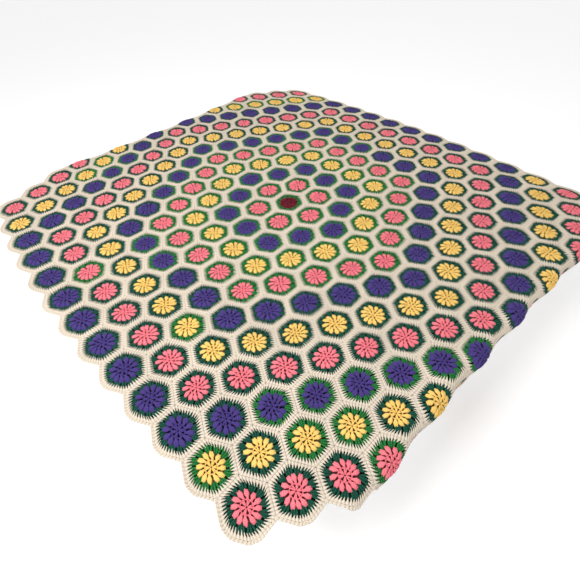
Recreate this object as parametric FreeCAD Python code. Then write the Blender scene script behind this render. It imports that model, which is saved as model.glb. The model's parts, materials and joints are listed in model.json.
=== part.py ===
# A crocheted blanket of hexagon motifs, laid over a bed so that both of its pointed ends hang down.
#
# Each motif is worked in rounds: a flower of twelve petals, a green leaf round that squares the flower
# up to a hexagon, a cream round, and a raised join row that ties it to the motifs beside it. The rings
# of motifs about the middle one change colour, so the rounds are grouped by ring. A border, the
# edging, is worked round the outside.
#
# Frame, in millimetres: the origin is the middle of the level part's underside, +Z is up, +X runs
# along the blanket to its near end and +Y runs across it. Yarn rounds are plain closed plates of the
# fabric's real thickness. Past a fold line the fabric bends over the bed's edge and hangs.
import FreeCAD, Part
import os
from math import cos, degrees, pi, sin, sqrt

from FreeCAD import Placement, Rotation, Vector

os.makedirs("parts", exist_ok=True)

# Driving dimensions, in millimetres
PITCH = 125.0  # from the middle of one motif to the middle of the next
END_RINGS = 10  # motifs from the middle one to each slanting edge at the ends
SIDE_RINGS = 8  # motifs from the middle one to each long side
PETALS = 12
FLOWER_RADIUS = 39.0  # over the tips of the petals
LEAF_HALF_WIDTH = 50.0  # half of the green round's width across its flats
JOIN_ROW = 2.5  # width of each motif's raised outer row
EDGING_WIDTH = 7.5  # width of the border
FABRIC = 6.0  # thickness of the leaf rounds, cream rounds and border
FLOWER_HEIGHT = 7.0
JOIN_HEIGHT = 7.0
NEAR_FOLD_ROWS = 7.35  # pitches from the middle to where the fabric bends down at the near end
FAR_FOLD_ROWS = 7.59  # and at the far end, where a little less of it hangs
BEND_RADIUS = 30.0  # of the bed's edge, at the fabric's underside
BEND_STEPS = 3  # flat strips that make up each bend
HINGE_GAP = 3.0  # left open under each bend, so that the end can swing up without touching it

# Worked out from them
HALF_PITCH = PITCH / 2
ROW = PITCH * sqrt(3) / 2  # from one row of motifs to the next, across the blanket
STEP_TURN = pi / 2 / BEND_STEPS
STEP_LENGTH = 2 * BEND_RADIUS * sin(STEP_TURN / 2)
REACH = 2 * PITCH * END_RINGS  # longer than any strip of the blanket
SIDES = 6
UP = Vector(0, 0, 1)
MIDDLE = Vector(0, 0, 0)


def polygon(sides, radius, turn=0.0):
    """The corners of an even polygon about the origin, the first at the angle turn."""
    corners = []
    for i in range(sides):
        angle = turn + 2 * pi * i / sides
        corners.append(Vector(radius * cos(angle), radius * sin(angle), 0))
    return corners


def hexagon(half_width):
    """A motif's outline, with flats towards its neighbours along the blanket."""
    return polygon(SIDES, half_width / cos(pi / SIDES), pi / SIDES)


def wire(corners):
    return Part.makePolygon(corners + corners[:1])


def plate(outline, height, hole=None):
    """A flat closed solid on the plane Z = 0, with or without a hole."""
    if hole is None:
        return Part.Face(wire(outline)).extrude(UP * height)
    face = Part.makeFace([wire(outline), wire(hole)], "Part::FaceMakerBullseye")
    return face.extrude(UP * height)


def ring_of(a, b):
    """How many rings the motif at (a, b) is from the middle one."""
    return max(abs(a), abs(b), abs(a - b))


def lattice():
    """Each motif as its place (a, b) in two slanting counts."""
    span = range(-END_RINGS, END_RINGS + 1)
    return [(a, b) for a in span for b in span if abs(a - b) <= SIDE_RINGS]


def centre(a, b):
    return Vector((a + b) * HALF_PITCH, (a - b) * ROW, 0)


def neighbours(a, b):
    """The motif across each side, counted round from the one towards +X."""
    steps = [(1, 1), (1, 0), (0, -1), (-1, -1), (-1, 0), (0, 1)]
    return [(a + i, b + j) for i, j in steps]


def border(a, b, places):
    """The stretch of edging along a motif's free sides, or None inside the blanket. It is mitred
    at the motif's own corners and meets the next motif's stretch face to face."""
    free = [place not in places for place in neighbours(a, b)]
    if not any(free):
        return None
    first = next(i for i in range(SIDES) if free[i] and not free[i - 1])
    count = 0
    while free[(first + count) % SIDES]:
        count += 1
    corner = HALF_PITCH / cos(pi / SIDES)
    inner = []
    outer = []
    for i in range(count + 1):
        angle = (first + i) * pi / 3 - pi / SIDES
        point = Vector(corner * cos(angle), corner * sin(angle), 0)
        inner.append(point)
        # at an end of the stretch the next motif's border comes in at 60 degrees
        lean = 0.0
        if i == 0:
            lean = pi / 3
        if i == count:
            lean = -pi / 3
        reach = EDGING_WIDTH / cos(pi / SIDES)
        outer.append(point + Vector(reach * cos(angle + lean), reach * sin(angle + lean), 0))
    return plate(inner + outer[::-1], FABRIC)


def carry(start, corner, turn):
    """Turns what lies at X = start about that line by turn degrees, and carries it to corner."""
    down = Rotation(Vector(0, 1, 0), turn)
    return Placement(corner - down.multVec(Vector(start, 0, 0)), down)


def strips(fold):
    """The strips that a flat end is cut into and bent over the bed's edge: from where to where
    along the fabric, whether the strip hangs free, and what carries it there from the flat."""
    made = [(0, fold, False, Placement())]
    corner = Vector(fold, 0, 0)
    for i in range(BEND_STEPS):
        start = fold + i * STEP_LENGTH
        turn = (i + 0.5) * STEP_TURN
        made.append((start, start + STEP_LENGTH, False, carry(start, corner, degrees(turn))))
        corner = corner + Vector(cos(turn), 0, -sin(turn)) * STEP_LENGTH
    hang = fold + BEND_STEPS * STEP_LENGTH + HINGE_GAP
    made.append((hang, REACH, True, carry(hang, corner - UP * HINGE_GAP, 90)))
    return made


def draped(solid):
    """A flat solid cut at the bends and laid in place, as (end that it hangs at or None, solid)."""
    box = solid.BoundBox
    far = box.XMin < 0
    fold = PITCH * (FAR_FOLD_ROWS if far else NEAR_FOLD_ROWS)
    if max(box.XMax, -box.XMin) <= fold:
        return [(None, solid)]
    # the far end is bent as the near one is, half a turn round
    facing = solid.copy()
    if far:
        facing.rotate(MIDDLE, UP, 180)
    pieces = []
    for start, end, hangs, place in strips(fold):
        slab = Part.makeBox(end - start, 2 * REACH, 2 * PITCH, Vector(start, -REACH, -PITCH))
        for piece in facing.common(slab).Solids:
            laid = piece.transformed(place.Matrix, True)
            if far:
                laid.rotate(MIDDLE, UP, 180)
            end_name = "far_drop" if far else "near_drop"
            pieces.append((end_name if hangs else None, laid))
    return pieces


nodes = {}


def lay(name, solid):
    """Adds a flat solid to the node of that name, and what hangs to the same node of its end."""
    for end, piece in draped(solid):
        node = f"{end}_{name}" if end else name
        nodes.setdefault(node, []).append(piece)


def motif_rounds():
    """One motif's flower, leaf round, cream round and join row, about the origin."""
    petals = polygon(PETALS, FLOWER_RADIUS)
    leaf = hexagon(LEAF_HALF_WIDTH)
    cream = hexagon(HALF_PITCH - JOIN_ROW)
    return {
        "flowers": plate(petals, FLOWER_HEIGHT),
        "leaf_rounds": plate(leaf, FABRIC, petals),
        "cream_rounds": plate(cream, FABRIC, leaf),
        "join_rows": plate(hexagon(HALF_PITCH), JOIN_HEIGHT, cream),
    }


places = set(lattice())
rounds = motif_rounds()
for a, b in sorted(places, key=lambda place: (ring_of(*place), place)):
    for name, shape in rounds.items():
        ring_name = name if name == "join_rows" else f"ring_{ring_of(a, b):02d}_{name}"
        lay(ring_name, shape.translated(centre(a, b)))
    edge = border(a, b, places)
    if edge:
        lay("edging", edge.translated(centre(a, b)))

for name, solids in nodes.items():
    Part.makeCompound(solids).exportStep(f"parts/{name}.step")
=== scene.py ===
import json
from math import cos, pi, radians, sin, sqrt, tan
from random import Random

import bpy
import numpy as np
from mathutils import Matrix, Vector


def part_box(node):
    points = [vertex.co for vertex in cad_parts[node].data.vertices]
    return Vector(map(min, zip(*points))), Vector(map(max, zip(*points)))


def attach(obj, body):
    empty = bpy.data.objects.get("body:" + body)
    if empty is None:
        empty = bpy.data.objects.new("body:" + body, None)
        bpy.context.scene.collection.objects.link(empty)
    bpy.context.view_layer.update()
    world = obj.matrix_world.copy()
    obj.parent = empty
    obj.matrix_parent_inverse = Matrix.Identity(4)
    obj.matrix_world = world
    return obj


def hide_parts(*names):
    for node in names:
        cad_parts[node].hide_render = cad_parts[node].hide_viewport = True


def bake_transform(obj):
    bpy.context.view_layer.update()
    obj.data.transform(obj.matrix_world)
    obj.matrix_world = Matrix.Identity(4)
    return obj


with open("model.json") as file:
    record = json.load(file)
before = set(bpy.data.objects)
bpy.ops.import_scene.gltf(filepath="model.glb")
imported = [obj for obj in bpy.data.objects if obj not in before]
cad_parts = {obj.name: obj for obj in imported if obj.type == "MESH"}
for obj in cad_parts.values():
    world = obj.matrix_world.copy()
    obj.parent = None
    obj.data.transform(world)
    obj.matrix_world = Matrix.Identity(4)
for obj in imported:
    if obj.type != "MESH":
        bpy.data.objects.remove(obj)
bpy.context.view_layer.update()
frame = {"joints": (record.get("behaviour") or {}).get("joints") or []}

# ---------------------------------------------------------------------------------------------
# Flowers: the middle of every motif, in worsted acrylic yarn of one colour to each ring of motifs.
# Six pairs of posts stand about the centre, a round of loops joins their heads, and twelve petals
# of two posts each are worked into the loops, all leaning one way.
# ---------------------------------------------------------------------------------------------
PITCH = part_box("ring_02_cream_rounds")[1][0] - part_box("ring_01_cream_rounds")[1][0]
SIDES = 6
PETALS = 12


def stitch(name, sides, rings):
    """One stitch: a closed post of yarn along +X, thickest where the hook wrapped it. Each ring is
    (x, half width, half height, height above the bed)."""
    bpy.ops.object.select_all(action="DESELECT")
    x, wide, high, lift = rings[0]
    bpy.ops.mesh.primitive_circle_add(vertices=sides, radius=1, fill_type="NGON")
    post = bpy.context.object
    post.name = name
    bpy.ops.object.mode_set(mode="EDIT")
    bpy.ops.mesh.select_all(action="SELECT")
    bpy.ops.transform.rotate(value=pi / 2, orient_axis="Y", center_override=(0, 0, 0))
    bpy.ops.transform.resize(value=(1, wide, high), center_override=(0, 0, 0))
    bpy.ops.transform.translate(value=(x, 0, lift))
    for next_x, next_wide, next_high, next_lift in rings[1:]:
        step = (next_x - x, 0, next_lift - lift)
        bpy.ops.mesh.extrude_region_move(TRANSFORM_OT_translate={"value": step})
        grow = (1, next_wide / wide, next_high / high)
        bpy.ops.transform.resize(value=grow, center_override=(next_x, 0, next_lift))
        x, wide, high, lift = next_x, next_wide, next_high, next_lift
    bpy.ops.mesh.select_all(action="SELECT")
    bpy.ops.mesh.normals_make_consistent(inside=False)
    bpy.ops.object.mode_set(mode="OBJECT")
    wind_yarn_map(post, rings[0][3])
    post.hide_render = True
    return post


def wind_yarn_map(post, lift):
    """A UV map that runs along the yarn in U, in metres, and once round it in V."""
    mesh = post.data
    layer = mesh.uv_layers.new(name="Yarn")
    for face in mesh.polygons:
        turns = []
        for loop in face.loop_indices:
            point = mesh.vertices[mesh.loops[loop].vertex_index].co
            turns.append(np.arctan2(point.z - lift, point.y) / (2 * pi))
        wrap = max(turns) - min(turns) > 0.5
        for loop, turn in zip(face.loop_indices, turns):
            point = mesh.vertices[mesh.loops[loop].vertex_index].co
            layer.data[loop].uv = (point.x, turn + 1 if wrap and turn < 0 else turn)


def points_of(piece):
    flat = np.empty(len(piece.data.vertices) * 3)
    piece.data.vertices.foreach_get("co", flat)
    return flat.reshape(-1, 3)


def move_points(piece, points):
    piece.data.vertices.foreach_set("co", points.ravel())
    piece.data.update()


def joined(name, copies):
    bpy.ops.object.select_all(action="DESELECT")
    for piece in copies:
        piece.select_set(True)
    bpy.context.view_layer.objects.active = copies[0]
    if len(copies) > 1:
        bpy.ops.object.join()
    piece = bpy.context.object
    piece.name = name
    piece.data.name = name
    return piece


def copied(pattern, place=Matrix()):
    piece = pattern.copy()
    piece.data = pattern.data.copy()
    piece.data.transform(place)
    piece.hide_render = False
    bpy.context.collection.objects.link(piece)
    return piece


def spot(radius, angle):
    return Vector((radius * cos(angle), radius * sin(angle), 0))


def laid_between(start, end, length):
    """Turns a post of that length to run from start to end, stretched to fit."""
    way = end - start
    turn = Matrix.Rotation(np.arctan2(way.y, way.x), 4, "Z")
    reach = Matrix.Diagonal((way.length / length, 1, 1, 1))
    return Matrix.Translation(start) @ turn @ reach


# the motifs lie in rings about the middle one, and the outer rings are cut off at the long sides
END_RINGS = 10
SIDE_RINGS = 8
ROW = PITCH * sqrt(3) / 2


def ring_of(place):
    a, b = place
    return max(abs(a), abs(b), abs(a - b))


span = range(-END_RINGS, END_RINGS + 1)
places = [(a, b) for a in span for b in span if abs(a - b) <= SIDE_RINGS]
joints = {joint["name"]: joint for joint in frame["joints"]}
near_hinge = Vector(joints["near_end_fold"]["pos_m"])
far_hinge = Vector(joints["far_end_fold"]["pos_m"])
# the hinge lies where it keeps the fabric's length between the bend flat and the bend round
BEND = -near_hinge.z / (1 - pi / 4)
NEAR_FOLD = near_hinge.x - pi / 4 * BEND
FAR_FOLD = -far_hinge.x - pi / 4 * BEND


def end_of(place):
    """Which end's bend a motif reaches, if any."""
    x = (place[0] + place[1]) * PITCH / 2
    if x + PITCH / 2 > NEAR_FOLD:
        return "near"
    if -x + PITCH / 2 > FAR_FOLD:
        return "far"
    return "middle"


def across(points):
    """How far out each point is towards the side of the hexagon that it faces."""
    x, y = points[:, 0], points[:, 1]
    slant = sqrt(3) / 2 * np.abs(y) + 0.5 * np.abs(x)
    return np.maximum(np.abs(x), slant)


def ease(value):
    value = np.clip(value, 0, 1)
    return value * value * (3 - 2 * value)


STEPS_ROUND = [(1, 1), (1, 0), (0, -1), (-1, -1), (-1, 0), (0, 1)]
known = set(places)


def free_sides(place):
    """For each side of a motif, counted round from +X, whether no other motif is joined to it."""
    a, b = place
    return [(a + i, b + j) not in known for i, j in STEPS_ROUND]


# a motif is turned by up to so many degrees, stretched and leant by such shares, and off centre by
# such a share of the pitch, all of it fading out in the band before its joined sides
MOST_TURN = 9
MOST_STRETCH = 0.05
MOST_SHIFT = 0.010
HELD_FROM, HELD_BAND = 0.34, 0.14
# the edging pulls in a free corner, most at the rim
CORNER_FULLNESS = 1.035
PULL_FROM, PULL_BAND = 0.55, 0.4


def worked(points, place):
    """One motif as it came off the hook: its rounds a little turned, stretched and off centre, and
    its free corners pulled round by the edging. What lies on a joined side stays where it is."""
    chance = Random(1000 * place[0] + place[1])
    points = points.copy()
    hold = 1 - ease((across(points) / PITCH - HELD_FROM) / HELD_BAND)
    turn = radians(chance.uniform(-MOST_TURN, MOST_TURN)) * hold
    wide = 1 + chance.uniform(-MOST_STRETCH, MOST_STRETCH) * hold
    tall = 1 + chance.uniform(-MOST_STRETCH, MOST_STRETCH) * hold
    lean = chance.uniform(-MOST_STRETCH, MOST_STRETCH) * hold
    x, y = points[:, 0].copy(), points[:, 1].copy()
    off_x = chance.uniform(-1, 1) * MOST_SHIFT * PITCH * hold
    off_y = chance.uniform(-1, 1) * MOST_SHIFT * PITCH * hold
    points[:, 0] = (x * np.cos(turn) - y * np.sin(turn)) * wide + lean * y + off_x
    points[:, 1] = (x * np.sin(turn) + y * np.cos(turn)) * tall + off_y
    free = free_sides(place)
    if any(free):
        angle = np.arctan2(points[:, 1], points[:, 0])
        reach = across(points) / (PITCH / 2)
        for i in range(SIDES):
            if free[i] and free[i - 1]:
                from_corner = (angle - (i * pi / 3 - pi / 6) + pi) % (2 * pi) - pi
                near = np.abs(from_corner) < pi / 6
                rounded = np.minimum(1, CORNER_FULLNESS * np.cos(pi / 6 - np.abs(from_corner)))
                pull = (1 - rounded) * ease((reach - PULL_FROM) / PULL_BAND)
                points[near, :2] *= (1 - pull[near])[:, None]
    middle = np.array([(place[0] + place[1]) * PITCH / 2, (place[0] - place[1]) * ROW, 0])
    return points + middle


# how the cloth lies askew, off its grid: rows of (power of x, power of y, mm along x, mm along y),
# for x and y as shares of REACH. These are coefficients of a fit that was made outside this script.
DRIFT = [
    (0, 0, 9, -1), (1, 0, -7, -1), (0, 1, -6, 27), (2, 0, -19, 10), (1, 1, -14, 3),
    (0, 2, -36, 2), (3, 0, 1, -8), (2, 1, 14, -71), (1, 2, 46, 18), (0, 3, 12, -29),
    (4, 0, 6, 1), (3, 1, 25, 39), (2, 2, 21, -10), (1, 3, -15, -14), (0, 4, 24, -19)]
REACH = 7.5 * PITCH
RIPPLE = 0.0035
chance = Random(7)
RIPPLES = [(chance.uniform(3, 13), chance.uniform(0, pi), chance.uniform(0, 2 * pi)) for _ in range(8)]
# between the stiffer middles of the motifs the cloth bends sooner, by up to twice this
NOTCH = 0.0065
# below the bend it draws in, over a short way at first, and then leans in. It leans in more in the
# hollows of its flutes, which are waves of so many radians to the metre along and down the drop
TUCK, TUCK_LENGTH = 0.004, 0.10
LEAN_IN, FLUTE_SHARE = 0.10, 0.25
FLUTES_ALONG, FLUTES_DOWN = 31, 9
# the far long side rolls off in a wide curve
ROLL_FROM, ROLL_RADIUS = 0.80, 0.85


def drape(points):
    """Lays flat fabric over the bed: it lies a little off its grid, ripples, rolls off at the far
    long side, bends down over both ends and hangs there in slight flutes."""
    x, y, lift = points[:, 0].copy(), points[:, 1].copy(), points[:, 2].copy()
    flat = np.clip(x, -FAR_FOLD, NEAR_FOLD)
    off_x, off_y, ripple = np.zeros_like(x), np.zeros_like(x), np.zeros_like(x)
    for in_x, in_y, by_x, by_y in DRIFT:
        share = (flat / REACH) ** in_x * (y / REACH) ** in_y / 1000
        off_x += by_x * share
        off_y += by_y * share
    for scale, way, phase in RIPPLES:
        ripple += np.sin(scale * (flat * cos(way) + y * sin(way)) + phase)
    facing = np.where(x < 0, -1.0, 1.0)
    row = 1 - np.cos(2 * pi * (y / (2 * ROW) + 0.5))
    fold = np.where(x < 0, FAR_FOLD, NEAR_FOLD) - NOTCH * row
    past = np.abs(x) - fold
    angle = np.clip(past / BEND, 0, pi / 2)
    hang = np.maximum(past - BEND * pi / 2, 0)
    lift += RIPPLE * np.clip(1 + ripple / 3, 0, 2) * (1 - angle / (pi / 2))
    out = np.minimum(np.abs(x), fold) + (BEND + lift) * np.sin(angle)
    out -= (TUCK + NOTCH * (2 - row)) * ease(hang / TUCK_LENGTH)
    out -= LEAN_IN * hang * (1 + FLUTE_SHARE * np.sin(FLUTES_ALONG * y + FLUTES_DOWN * hang))
    down = BEND + hang - (BEND + lift) * np.cos(angle)
    roll = np.maximum(y - ROLL_FROM, 0) ** 2 / (2 * ROLL_RADIUS)
    return np.column_stack([facing * out + off_x, y + off_y, np.where(past > 0, -down, lift) - roll])


def hold_end(piece, end):
    """The middle is hung on the spread body; an end's piece only has its placement baked into its mesh."""
    if end == "middle":
        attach(piece, "spread")
        return
    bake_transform(piece)


stitched = {"middle": [], "near": [], "far": []}


def finish_piece(piece, material, stands_for, end):
    """Gives a joined piece of stitches its yarn, hides the CAD nodes it replaces, and gives it its hold."""
    for face in piece.data.polygons:
        face.use_smooth = True
    piece.data.materials.clear()
    piece.data.materials.append(material)
    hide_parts(*stands_for)
    stitched[end].append(piece)
    hold_end(piece, end)
    return piece


def lay(name, patterns, chosen, material, stands_for):
    """Copies a motif's round to each chosen place, works and drapes each copy, and joins them."""
    copies = []
    for place in chosen:
        piece = copied(patterns[(place[0] + 2 * place[1]) % len(patterns)])
        move_points(piece, drape(worked(points_of(piece), place)))
        copies.append(piece)
    piece = joined(name, copies)
    return finish_piece(piece, material, stands_for, end_of(chosen[0]))


# the yarn is matt and slightly fuzzy, and its plies show as slanting grooves round each post
PLY_LENGTH = 0.0042
PLIES = 2
FUZZ = 0.8


def yarn_group():
    """Plied yarn: its colour with painted shade darkening the grooves, uneven over the blanket, and its
    relief.
    """
    group = bpy.data.node_groups.new("plied yarn", "ShaderNodeTree")
    group.interface.new_socket("Colour", in_out="INPUT", socket_type="NodeSocketColor")
    group.interface.new_socket("Painted Groove Shade", in_out="INPUT", socket_type="NodeSocketColor")
    group.interface.new_socket("Colour", in_out="OUTPUT", socket_type="NodeSocketColor")
    group.interface.new_socket("Height", in_out="OUTPUT", socket_type="NodeSocketFloat")
    nodes, links = group.nodes, group.links
    given = nodes.new("NodeGroupInput")
    result = nodes.new("NodeGroupOutput")
    mapping = nodes.new("ShaderNodeUVMap")
    mapping.uv_map = "Yarn"
    split = nodes.new("ShaderNodeSeparateXYZ")
    links.new(mapping.outputs["UV"], split.inputs[0])

    def maths(operation, first, second):
        node = nodes.new("ShaderNodeMath")
        node.operation = operation
        for socket, value in zip(node.inputs, (first, second)):
            if isinstance(value, (int, float)):
                socket.default_value = value
            else:
                links.new(value, socket)
        return node.outputs[0]

    turns = maths("MULTIPLY", split.outputs["X"], 2 * pi / PLY_LENGTH)
    round_it = maths("MULTIPLY", split.outputs["Y"], 2 * pi * PLIES)
    ply = maths("SINE", maths("ADD", turns, round_it), 0)
    ridge = maths("MULTIPLY_ADD", ply, 0.5)
    ridge.node.inputs[2].default_value = 0.5
    where = nodes.new("ShaderNodeTexCoord")
    fuzz = nodes.new("ShaderNodeTexNoise")
    fuzz.inputs["Scale"].default_value = 900
    fuzz.inputs["Detail"].default_value = 3
    links.new(where.outputs["Object"], fuzz.inputs["Vector"])
    broad = nodes.new("ShaderNodeTexNoise")
    broad.inputs["Scale"].default_value = 9
    broad.inputs["Detail"].default_value = 2
    links.new(where.outputs["Object"], broad.inputs["Vector"])
    height = maths("ADD", ridge, maths("MULTIPLY", fuzz.outputs["Fac"], FUZZ))
    # painted shade: where the yarn is low, in the grooves of its plies, its colour is mixed towards the
    # darker groove colour
    blend = nodes.new("ShaderNodeMix")
    blend.data_type = "RGBA"
    links.new(given.outputs["Painted Groove Shade"], blend.inputs["A"])
    links.new(given.outputs["Colour"], blend.inputs["B"])
    shade = nodes.new("ShaderNodeMapRange")
    shade.inputs["From Min"].default_value = 0.2
    shade.inputs["From Max"].default_value = 1.3
    shade.inputs["To Min"].default_value = 0.25
    shade.inputs["To Max"].default_value = 1.0
    links.new(height, shade.inputs["Value"])
    links.new(shade.outputs["Result"], blend.inputs["Factor"])
    tone = nodes.new("ShaderNodeHueSaturation")
    spread_tone = nodes.new("ShaderNodeMapRange")
    spread_tone.inputs["To Min"].default_value = 0.86
    spread_tone.inputs["To Max"].default_value = 1.12
    links.new(broad.outputs["Fac"], spread_tone.inputs["Value"])
    links.new(spread_tone.outputs["Result"], tone.inputs["Value"])
    links.new(blend.outputs["Result"], tone.inputs["Color"])
    links.new(tone.outputs["Color"], result.inputs["Colour"])
    links.new(height, result.inputs["Height"])
    return group


plied_yarn = yarn_group()


def srgb(red, green, blue):
    """A colour given as three bytes, as the linear values that a shader's socket takes."""
    def linear(value):
        value = value / 255
        return value / 12.92 if value <= 0.04045 else ((value + 0.055) / 1.055) ** 2.4
    return (linear(red), linear(green), linear(blue), 1)


def yarn(name, colour, painted_groove_shade):
    """A yarn's material, from its colour in the light and a darker colour painted into its grooves as
    shade.
    """
    material = bpy.data.materials.new(name)
    material.use_nodes = True
    nodes, links = material.node_tree.nodes, material.node_tree.links
    shader = nodes["Principled BSDF"]
    shader.inputs["Roughness"].default_value = 0.85
    shader.inputs["Specular IOR Level"].default_value = 0.12
    shader.inputs["Sheen Weight"].default_value = 0.04
    shader.inputs["Sheen Roughness"].default_value = 0.6
    group = nodes.new("ShaderNodeGroup")
    group.node_tree = plied_yarn
    group.inputs["Colour"].default_value = srgb(*colour)
    group.inputs["Painted Groove Shade"].default_value = srgb(*painted_groove_shade)
    links.new(group.outputs["Colour"], shader.inputs["Base Color"])
    bump = nodes.new("ShaderNodeBump")
    bump.inputs["Strength"].default_value = 0.5
    bump.inputs["Distance"].default_value = 0.0006
    links.new(group.outputs["Height"], bump.inputs["Height"])
    links.new(bump.outputs["Normal"], shader.inputs["Normal"])
    return material


# the second colour given to each yarn is painted shade for the grooves of its plies
PINK, PURPLE, YELLOW, BURGUNDY = (241, 133, 142), (75, 60, 128), (240, 206, 120), (114, 18, 38)
pink = yarn("pink yarn", PINK, (215, 80, 100))
purple = yarn("purple yarn", PURPLE, (42, 30, 88))
yellow = yarn("yellow yarn", YELLOW, (228, 165, 62))
burgundy = yarn("burgundy yarn", BURGUNDY, (65, 8, 22))

centre_length, loop_length, petal_length = 0.0160, 0.0088, 0.0225
CENTRE_FOOT, CENTRE_HEAD, CENTRE_LEAN = 0.0020, 0.0160, radians(9.5)
LOOP_RADIUS = 0.0168
# a loop runs a little past the next one's start
LOOP_REACH = 1.08
PETAL_FOOT, PETAL_HEAD = 0.0160, 0.0386
# between the two posts of a petal at their feet and at their heads, half the angle
FOOT_LEAN, HEAD_LEAN = radians(3), radians(3.8)
# the feet lie behind the petal's middle and the heads ahead of it
FOOT_SLANT, HEAD_SLANT = radians(6), radians(5)
centre_post = stitch("centre post", 5, [
    (0, 0.0013, 0.0018, 0.0032),
    (0.008, 0.0022, 0.0023, 0.0040),
    (centre_length, 0.0023, 0.0020, 0.0036)])
loop_post = stitch("centre loop", 5, [
    (0, 0.0016, 0.0018, 0.0034),
    (0.0044, 0.0022, 0.0022, 0.0038),
    (loop_length, 0.0016, 0.0018, 0.0034)])
petal_post = stitch("petal post", 6, [
    (0, 0.0017, 0.0021, 0.0046),
    (0.0058, 0.0023, 0.0029, 0.0050),
    (0.0122, 0.0055, 0.0030, 0.0047),
    (petal_length, 0.0025, 0.0017, 0.0033)])


def flower_pattern(name, spread, plump, hand):
    """One flower, wider by spread and with its posts wider by plump, made unevenly by hand."""
    broad = Matrix.Diagonal((1, plump, plump ** 0.5, 1))
    parts = []
    for i in range(SIDES):
        for lean in (-1, 1):
            angle = i * pi / 3 + lean * CENTRE_LEAN + hand.uniform(-0.08, 0.08)
            parts.append(copied(centre_post, laid_between(
                spot(CENTRE_FOOT, angle), spot(CENTRE_HEAD * spread, angle), centre_length) @ broad))
    for i in range(PETALS):
        start, end = i * 2 * pi / PETALS, (i + LOOP_REACH) * 2 * pi / PETALS
        parts.append(copied(loop_post, laid_between(
            spot(LOOP_RADIUS * spread, start), spot(LOOP_RADIUS * spread, end), loop_length) @ broad))
        angle = (i + 0.5) * 2 * pi / PETALS + hand.uniform(-0.06, 0.06)
        twist = HEAD_SLANT + hand.uniform(-0.08, 0.08)
        tip = (PETAL_HEAD + hand.uniform(-0.0020, 0.0012)) * spread
        for lean in (-1, 1):
            outer = tip + hand.uniform(-0.0012, 0.0012)
            parts.append(copied(petal_post, laid_between(
                spot(PETAL_FOOT * spread, angle + lean * FOOT_LEAN - FOOT_SLANT),
                spot(outer, angle + lean * HEAD_LEAN + twist), petal_length) @ broad))
    pattern = joined(name, parts)
    pattern.hide_render = True
    return pattern


# the purple yarn is the thickest and makes a fuller flower
FULL_SPREAD, FULL_PLUMP = 1.09, 1.22
flowers = [flower_pattern("flower", 1, 1, Random(seed)) for seed in (1, 2, 3)]
full_flowers = [
    flower_pattern("full flower", FULL_SPREAD, FULL_PLUMP, Random(seed)) for seed in (4, 5, 6)]

flower_yarns = [("yellow_yarn", yellow), ("pink_yarn", pink), ("purple_yarn", purple)]


def flower_yarn(ring):
    return ("burgundy_yarn", burgundy) if ring == 0 else flower_yarns[ring % 3]


def in_ring(ring):
    """The motifs of one ring that lie clear of both bends."""
    return [place for place in places if ring_of(place) == ring and end_of(place) == "middle"]


def on_end(end):
    return [place for place in places if end_of(place) == end]


for ring in range(END_RINGS + 1):
    slot, material = flower_yarn(ring)
    patterns = full_flowers if ring % 3 == 2 else flowers
    lay(f"flowers_ring_{ring:02d}", patterns, in_ring(ring), material, [f"ring_{ring:02d}_flowers"])
DROP_RINGS = (8, 9, 10)
for end in ("near", "far"):
    for kind, (slot, material) in enumerate(flower_yarns):
        patterns = full_flowers if kind == 2 else flowers
        chosen = [place for place in on_end(end) if ring_of(place) % 3 == kind]
        rings = {ring_of(place) for place in chosen} & set(DROP_RINGS)
        lay(f"{end}_end_flowers_{slot.split('_')[0]}", patterns, chosen, material,
            [f"{end}_drop_ring_{ring:02d}_flowers" for ring in rings])

# ---------------------------------------------------------------------------------------------
# Leaf rounds: the green about each flower, in two shades of the same worsted yarn. Three posts are
# worked in each space between two petals, longer at the corners, and make the flower a hexagon.
# ---------------------------------------------------------------------------------------------
LEAF, DEEP = (38, 122, 58), (20, 82, 64)
# the second colour of each green is painted shade for the grooves of its plies
leaf = yarn("leaf green yarn", LEAF, (10, 65, 22))
deep = yarn("deep green yarn", DEEP, (5, 42, 30))
LEAF_FOOT = 0.0330
LEAF_HALF = 0.0570
LEAF_CORNER = 0.0596
# the angle between two posts' feet, and how far past the space the posts are worked: the feet by
# an angle, the heads by a share of their spacing
LEAF_STEP, LEAF_FOOT_SLANT, LEAF_HEAD_SLANT = radians(6.5), radians(3), 0.3
leaf_length = 0.020
leaf_post = stitch("leaf post", 5, [
    (0, 0.0018, 0.0016, 0.0024),
    (0.007, 0.0031, 0.0027, 0.0036),
    (0.014, 0.0038, 0.0029, 0.0036),
    (leaf_length, 0.0026, 0.0016, 0.0024)])


def hexagon_edge(half, angle, corner):
    """How far the hexagon's outline is at an angle, with its corners kept within corner."""
    turned = (angle + pi / 6) % (pi / 3) - pi / 6
    return min(half / cos(turned), corner)


def leaf_pattern(hand):
    """One leaf round, made unevenly by hand."""
    parts = []
    for i in range(PETALS):
        gap = i * 2 * pi / PETALS
        for j in (-1, 0, 1):
            outer = gap + (j + LEAF_HEAD_SLANT) * 2 * pi / PETALS / 3 + hand.uniform(-0.03, 0.03)
            reach = hexagon_edge(LEAF_HALF, outer, LEAF_CORNER) + hand.uniform(-0.0012, 0.0008)
            parts.append(copied(leaf_post, laid_between(
                spot(LEAF_FOOT, gap + j * LEAF_STEP + LEAF_FOOT_SLANT), spot(reach, outer), leaf_length)))
    pattern = joined("leaf round", parts)
    pattern.hide_render = True
    return pattern


leaves = [leaf_pattern(Random(seed)) for seed in (7, 8, 9)]

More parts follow.
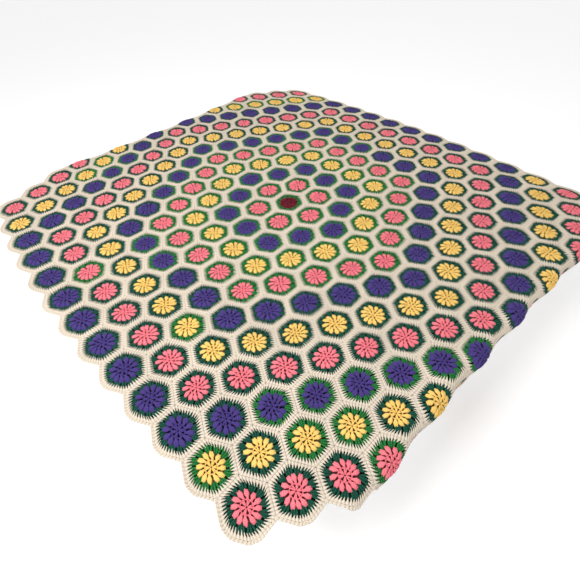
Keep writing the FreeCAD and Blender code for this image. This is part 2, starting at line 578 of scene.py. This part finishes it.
# the inner rings are of the pale green, but for a part of the fifth, and so are single motifs
# further out
PALE_RINGS = 5
DEEP_IN_FIFTH = {(-5, -1), (-5, 0), (-2, 3), (-1, 4), (3, -2), (4, -1)}
DEEP_IN_FIFTH |= {(a, 5) for a in range(6)} | {(5, b) for b in range(5)}
PALE_FURTHER_OUT = {(-1, 5), (-5, 2), (-8, -5), (-8, -4), (-9, -5), (-9, -4)}
PALE_FURTHER_OUT |= {(1, 9), (3, 9), (4, 9), (5, 10)}
PALE_FURTHER_OUT |= {(a, 8) for a in range(2, 8)} | {(a, -9) for a in range(-5, 0)}


def is_pale(place):
    if ring_of(place) <= PALE_RINGS:
        return place not in DEEP_IN_FIFTH
    return place in PALE_FURTHER_OUT


shades = (("leaf_green", leaf, True), ("deep_green", deep, False))
for ring in range(END_RINGS + 1):
    for shade, material, pale in shades:
        chosen = [place for place in in_ring(ring) if is_pale(place) == pale]
        if chosen:
            lay(f"{shade}_ring_{ring:02d}", leaves, chosen, material,
                [f"ring_{ring:02d}_leaf_rounds"])
for end in ("near", "far"):
    for shade, material, pale in shades:
        chosen = [place for place in on_end(end) if is_pale(place) == pale]
        if chosen:
            lay(f"{end}_end_{shade}", leaves, chosen, material,
                [f"{end}_drop_ring_{ring:02d}_leaf_rounds" for ring in DROP_RINGS])

# ---------------------------------------------------------------------------------------------
# Cream rounds: the last round of every motif, of cream worsted yarn, eight posts to a side. Their
# feet are worked down into the green, where they show as pointed teeth.
# ---------------------------------------------------------------------------------------------
CREAM = (221, 211, 195)
# the second colour of the cream is painted shade for the grooves of its plies
cream = yarn("cream yarn", CREAM, (198, 177, 153))
TEETH = 8
TOOTH_FOOT, TOOTH_HEAD = 0.0468, 0.0603
tooth_length = 0.0135
tooth = stitch("cream tooth", 5, [
    (0, 0.0010, 0.0010, 0.0050),
    (0.0068, 0.0020, 0.0019, 0.0053),
    (0.0101, 0.0044, 0.0020, 0.0049),
    (tooth_length, 0.0056, 0.0020, 0.0043)])


def on_side(half, share):
    """A point on the hexagon's +X side, half across it, at a share of its length from the middle."""
    return Vector((half, share * 2 * half * tan(pi / 6), 0))


def tooth_pattern(hand):
    """One cream round, made unevenly by hand."""
    parts = []
    for i in range(SIDES):
        turn = Matrix.Rotation(i * pi / 3, 4, "Z")
        for j in range(TEETH):
            along = (j + 0.5) / TEETH - 0.5
            foot = on_side(TOOTH_FOOT + hand.uniform(-0.0014, 0.0014), along)
            foot.y += hand.uniform(-0.0007, 0.0007)
            parts.append(copied(tooth, turn @ laid_between(foot, on_side(TOOTH_HEAD, along), tooth_length)))
    pattern = joined("cream round", parts)
    pattern.hide_render = True
    return pattern


teeth = [tooth_pattern(Random(seed)) for seed in (10, 11, 12)]
for ring in range(END_RINGS + 1):
    lay(f"cream_ring_{ring:02d}", teeth, in_ring(ring), cream,
        [f"ring_{ring:02d}_cream_rounds"])
for end in ("near", "far"):
    lay(f"{end}_end_cream", teeth, on_end(end), cream,
        [f"{end}_drop_ring_{ring:02d}_cream_rounds" for ring in DROP_RINGS])

# ---------------------------------------------------------------------------------------------
# Join rows: a chain of slip stitches in cream yarn along every side of a motif, just above the
# heads of its posts. By this chain it is joined to its neighbour.
# ---------------------------------------------------------------------------------------------
CHAIN_HALF = 0.0605
# a link starts inside the line and ends outside it, and runs a little into the next
CHAIN_IN, CHAIN_OUT, LINK_LAP = 0.0008, 0.0010, 0.0004
link_length = 0.0086
link = stitch("chain link", 5, [
    (0, 0.0014, 0.0014, 0.0045),
    (0.0044, 0.0021, 0.0018, 0.0050),
    (link_length, 0.0014, 0.0014, 0.0045)])
parts = []
for i in range(SIDES):
    for j in range(TEETH):
        step = 2 * CHAIN_HALF * tan(pi / 6) / TEETH
        along = (j - TEETH / 2) * step
        turn = Matrix.Rotation(i * pi / 3, 4, "Z")
        start = Vector((CHAIN_HALF - CHAIN_IN, along - LINK_LAP, 0))
        end = Vector((CHAIN_HALF + CHAIN_OUT, along + step + LINK_LAP, 0))
        parts.append(copied(link, turn @ laid_between(start, end, link_length)))
chain = joined("join row", parts)
chain.hide_render = True
chains = [chain]
for ring in range(END_RINGS + 1):
    lay(f"join_row_ring_{ring:02d}", chains, in_ring(ring), cream, ["join_rows"])
for end in ("near", "far"):
    lay(f"{end}_end_join_row", chains, on_end(end), cream, [f"{end}_drop_join_rows"])

# ---------------------------------------------------------------------------------------------
# Edging: one row of short posts and a heavier chain, in cream yarn, worked round the whole blanket
# on the free sides of the outer motifs. It pulls their corners round.
# ---------------------------------------------------------------------------------------------
EDGE_INNER, EDGE_OUTER = 0.0622, 0.0668
RIM_HALF, RIM_SWING = 0.0674, 0.0006
RIM_WIDER, RIM_HIGHER = 1.45, 1.15
edge_length = 0.008
edge_post = stitch("edging post", 5, [
    (0, 0.0056, 0.0018, 0.0044),
    (0.004, 0.0060, 0.0019, 0.0047),
    (edge_length, 0.0056, 0.0017, 0.0041)])
parts = []
for j in range(TEETH):
    along = (j + 0.5) / TEETH - 0.5
    parts.append(copied(edge_post, laid_between(
        on_side(EDGE_INNER, along), on_side(EDGE_OUTER, along), edge_length)))
    step = 2 * RIM_HALF * tan(pi / 6) / TEETH
    start = Vector((RIM_HALF - RIM_SWING, (j - TEETH / 2) * step - LINK_LAP, 0))
    end = Vector((RIM_HALF + RIM_SWING, (j + 1 - TEETH / 2) * step + LINK_LAP, 0))
    heavier = Matrix.Diagonal((1, RIM_WIDER, RIM_HIGHER, 1))
    parts.append(copied(link, laid_between(start, end, link_length) @ heavier))
edge_side = joined("edging side", parts)
edge_side.hide_render = True
edging_nodes = {"middle": ["edging"], "near": ["near_drop_edging"], "far": ["far_drop_edging"]}
for end, nodes_for in edging_nodes.items():
    copies = []
    for place in on_end(end):
        for i, free in enumerate(free_sides(place)):
            if free:
                piece = copied(edge_side, Matrix.Rotation(i * pi / 3, 4, "Z"))
                move_points(piece, drape(worked(points_of(piece), place)))
                copies.append(piece)
    name = "edging" if end == "middle" else f"{end}_end_edging"
    finish_piece(joined(name, copies), cream, nodes_for, end)

# ---------------------------------------------------------------------------------------------
# Back of the fabric: the feet of all the stitches, one thin layer under them. Its top face, which shows
# between the stitches, is painted deep shade; from below it has the yarns' own colours.
# ---------------------------------------------------------------------------------------------
# how far out each round ends on the back, in pitches
LEAF_ENDS, FLOWER_ENDS = 0.45, 0.29


def zones_group():
    """Which round a point is in, from the Motif map, and the ribs of its stitches."""
    group = bpy.data.node_groups.new("motif rounds", "ShaderNodeTree")
    group.interface.new_socket("Cream", in_out="INPUT", socket_type="NodeSocketColor")
    group.interface.new_socket("Colour", in_out="OUTPUT", socket_type="NodeSocketColor")
    group.interface.new_socket("Height", in_out="OUTPUT", socket_type="NodeSocketFloat")
    nodes, links = group.nodes, group.links
    given = nodes.new("NodeGroupInput")
    result = nodes.new("NodeGroupOutput")
    place = nodes.new("ShaderNodeUVMap")
    place.uv_map = "Motif"
    length = nodes.new("ShaderNodeVectorMath")
    length.operation = "LENGTH"
    links.new(place.outputs["UV"], length.inputs[0])
    polar = nodes.new("ShaderNodeSeparateXYZ")
    links.new(place.outputs["UV"], polar.inputs[0])
    angle = nodes.new("ShaderNodeMath")
    angle.operation = "ARCTAN2"
    links.new(polar.outputs["Y"], angle.inputs[0])
    links.new(polar.outputs["X"], angle.inputs[1])
    ribs = nodes.new("ShaderNodeMath")
    ribs.operation = "MULTIPLY"
    ribs.inputs[1].default_value = 3 * PETALS
    links.new(angle.outputs[0], ribs.inputs[0])
    ridge = nodes.new("ShaderNodeMath")
    ridge.operation = "SINE"
    links.new(ribs.outputs[0], ridge.inputs[0])
    links.new(ridge.outputs[0], result.inputs["Height"])
    colour = given.outputs["Cream"]
    for zone, outer in (("Leaf", LEAF_ENDS), ("Flower", FLOWER_ENDS)):
        inside = nodes.new("ShaderNodeMath")
        inside.operation = "LESS_THAN"
        inside.inputs[1].default_value = outer
        links.new(length.outputs["Value"], inside.inputs[0])
        own = nodes.new("ShaderNodeAttribute")
        own.attribute_name = zone
        pick = nodes.new("ShaderNodeMix")
        pick.data_type = "RGBA"
        links.new(inside.outputs[0], pick.inputs["Factor"])
        links.new(colour, pick.inputs["A"])
        links.new(own.outputs["Color"], pick.inputs["B"])
        colour = pick.outputs["Result"]
    links.new(colour, result.inputs["Colour"])
    return group


motif_rounds = zones_group()


def backing(name, brightness, cream_share, depth):
    """The back's colours, all dimmed by brightness, with the cream made that much brighter than the rest;
    dimmed far, they are painted deep shade.
    """
    material = bpy.data.materials.new(name)
    material.use_nodes = True
    nodes, links = material.node_tree.nodes, material.node_tree.links
    shader = nodes["Principled BSDF"]
    shader.inputs["Roughness"].default_value = 0.95
    shader.inputs["Specular IOR Level"].default_value = 0.05
    group = nodes.new("ShaderNodeGroup")
    group.node_tree = motif_rounds
    group.inputs["Cream"].default_value = [cream_share * value for value in srgb(*CREAM)]
    shade = nodes.new("ShaderNodeHueSaturation")
    shade.inputs["Value"].default_value = brightness
    links.new(group.outputs["Colour"], shade.inputs["Color"])
    links.new(shade.outputs["Color"], shader.inputs["Base Color"])
    bump = nodes.new("ShaderNodeBump")
    bump.inputs["Strength"].default_value = 0.8
    bump.inputs["Distance"].default_value = depth
    links.new(group.outputs["Height"], bump.inputs["Height"])
    links.new(bump.outputs["Normal"], shader.inputs["Normal"])
    return material


# the top face: the back's colours painted dark, at 0.08 of their brightness, as deep shade between the
# stitches, the cream less dark
painted_shade_back = backing("backing painted in shade", 0.08, 8.5, 0.0005)
underside = backing("underside", 0.9, 1.0, 0.0015)
bpy.ops.object.select_all(action="DESELECT")
bpy.ops.mesh.primitive_circle_add(vertices=SIDES, radius=PITCH / sqrt(3), fill_type="TRIFAN")
tile = bpy.context.object
tile.name = "tile"
bpy.ops.object.mode_set(mode="EDIT")
bpy.ops.mesh.select_all(action="SELECT")
bpy.ops.mesh.subdivide(number_cuts=5)
bpy.ops.object.mode_set(mode="OBJECT")
tile.hide_render = True
flower_shades = (YELLOW, PINK, PURPLE)
NEARLY, CORNER_SLACK = 0.002, 0.01


def tile_at(place):
    """One motif's back, coloured by round, and carried out under the edging on its free sides."""
    piece = copied(tile)
    mesh = piece.data
    where = points_of(piece)
    motif_map = mesh.uv_layers.new(name="Motif")
    for corner in mesh.loops:
        motif_map.data[corner.index].uv = where[corner.vertex_index][:2] / PITCH
    ring = ring_of(place)
    shades = {"Flower": flower_shades[ring % 3] if ring else BURGUNDY,
              "Leaf": LEAF if is_pale(place) else DEEP}
    for zone, shade in shades.items():
        layer = mesh.color_attributes.new(name=zone, type="FLOAT_COLOR", domain="CORNER")
        layer.data.foreach_set("color", srgb(*shade) * len(mesh.loops))
    free = free_sides(place)
    for i, point in enumerate(where):
        on_the_rim = across(point[None, :])[0] > (1 - NEARLY) * PITCH / 2
        if on_the_rim:
            # at a corner this gives the two sides that meet there
            turn = np.arctan2(point[1], point[0]) / (pi / 3) + 0.5
            sides = {int(np.floor(turn + slack)) % SIDES for slack in (-CORNER_SLACK, CORNER_SLACK)}
            if all(free[side] for side in sides):
                where[i, :2] *= EDGE_OUTER / (PITCH / 2)
    move_points(piece, worked(where, place))
    return piece


# each part's longest extents as it came off the hook, along x and y
flats = {"middle": (1.8125, 1.876), "near": (0.50, 1.443), "far": (0.4375, 1.227)}
backs_for = {
    "middle": ["join_rows"], "near": ["near_drop_join_rows"], "far": ["far_drop_join_rows"]}
THICKNESS = 0.0012
for end, flat in flats.items():
    chosen = on_end(end)
    back = joined("back" if end == "middle" else f"{end}_end_back", [tile_at(p) for p in chosen])
    bpy.ops.object.mode_set(mode="EDIT")
    bpy.ops.mesh.select_all(action="SELECT")
    bpy.ops.mesh.remove_doubles(threshold=0.0001)
    bpy.ops.object.mode_set(mode="OBJECT")
    thick = back.modifiers.new("thickness", "SOLIDIFY")
    thick.thickness = THICKNESS
    thick.offset = 1
    thick.material_offset = 1
    thick.material_offset_rim = 1
    back.data.materials.append(painted_shade_back)
    back.data.materials.append(underside)
    bpy.ops.object.modifier_apply(modifier="thickness")
    move_points(back, drape(points_of(back)))
    for face in back.data.polygons:
        face.use_smooth = True
    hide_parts(*backs_for[end])
    hold_end(back, end)

# the stitches and rounds that everything was copied from are no part of the blanket
for pattern in (centre_post, loop_post, petal_post, leaf_post, tooth, link, edge_post, tile, edge_side,
                *flowers, *full_flowers, *leaves, *teeth, *chains):
    bpy.data.objects.remove(pattern)

# ---------------------------------------------------------------------------------------------
# Scenery, which is no part of the object: a pale floor that glows a little, a plain block for the
# bed, and an even white light with one soft lamp. The camera looks down from over one corner.
# ---------------------------------------------------------------------------------------------
CAMERA_AT = Vector((8.23, -7.25, 7.79)) * PITCH + Vector((0, 0, 0.008))
right = Vector((0.684, 0.729, -0.035)).normalized()
forward = Vector((-0.506, 0.440, -0.742)).normalized()
up = right.cross(forward).normalized()
right = forward.cross(up)
camera_data = bpy.data.cameras.new("camera")
camera_data.lens = 24.65
camera_data.sensor_width = 36
camera = bpy.data.objects.new("camera", camera_data)
bpy.context.collection.objects.link(camera)
turn = Matrix((right, up, -forward)).transposed().to_4x4()
camera.matrix_world = Matrix.Translation(CAMERA_AT) @ turn
bpy.context.scene.camera = camera

bpy.ops.object.select_all(action="DESELECT")
FLOOR = -0.46
BED_HEIGHT, BED_TOP = 0.456, -0.0025
BED_WIDTH, BED_INSET = 1.60, 0.10
CORNER_RADIUS = 0.36
bpy.ops.mesh.primitive_plane_add(size=60, location=(0, 0, FLOOR))
floor = bpy.context.object
floor.name = "floor"
middle = ((NEAR_FOLD - FAR_FOLD) / 2, 0, BED_TOP - BED_HEIGHT / 2)
bpy.ops.mesh.primitive_cube_add(size=1, location=middle)
block = bpy.context.object
block.name = "bed block"
block.scale = (NEAR_FOLD + FAR_FOLD - BED_INSET, BED_WIDTH, BED_HEIGHT)
bpy.ops.object.transform_apply(location=True, rotation=True, scale=True)
bpy.ops.object.mode_set(mode="EDIT")
bpy.ops.mesh.select_mode(type="EDGE")
bpy.ops.mesh.select_all(action="DESELECT")
bpy.ops.object.mode_set(mode="OBJECT")
# only the four upright edges
for edge in block.data.edges:
    foot, head = (block.data.vertices[end].co for end in edge.vertices)
    edge.select = (foot.xy - head.xy).length < 0.001
bpy.ops.object.mode_set(mode="EDIT")
bpy.ops.mesh.bevel(offset=CORNER_RADIUS, segments=8)
bpy.ops.object.mode_set(mode="OBJECT")
bevel = block.modifiers.new("edge", "BEVEL")
bevel.width = 0.025
bevel.segments = 4
for stage, glow in ((floor, 0.20), (block, 0)):
    pale = bpy.data.materials.new("pale " + stage.name)
    pale.use_nodes = True
    surface = pale.node_tree.nodes["Principled BSDF"]
    surface.inputs["Base Color"].default_value = (0.97, 0.97, 0.97, 1)
    surface.inputs["Roughness"].default_value = 0.9
    surface.inputs["Emission Color"].default_value = (1, 1, 1, 1)
    surface.inputs["Emission Strength"].default_value = glow
    stage.data.materials.append(pale)

world = bpy.data.worlds.new("studio")
bpy.context.scene.world = world
world.use_nodes = True
world.node_tree.nodes["Background"].inputs["Color"].default_value = (1, 1, 1, 1)
world.node_tree.nodes["Background"].inputs["Strength"].default_value = 0.72
bpy.context.scene.view_settings.view_transform = "Standard"
lamp_data = bpy.data.lights.new("soft lamp", "AREA")
lamp_data.energy = 54
lamp_data.size = 1.2
lamp = bpy.data.objects.new("soft lamp", lamp_data)
lamp.location = (0.2, -1.5, 2.2)
lamp.rotation_euler = Vector((-0.1, 1.2, -2.2)).to_track_quat("-Z", "Y").to_euler()
bpy.context.collection.objects.link(lamp)
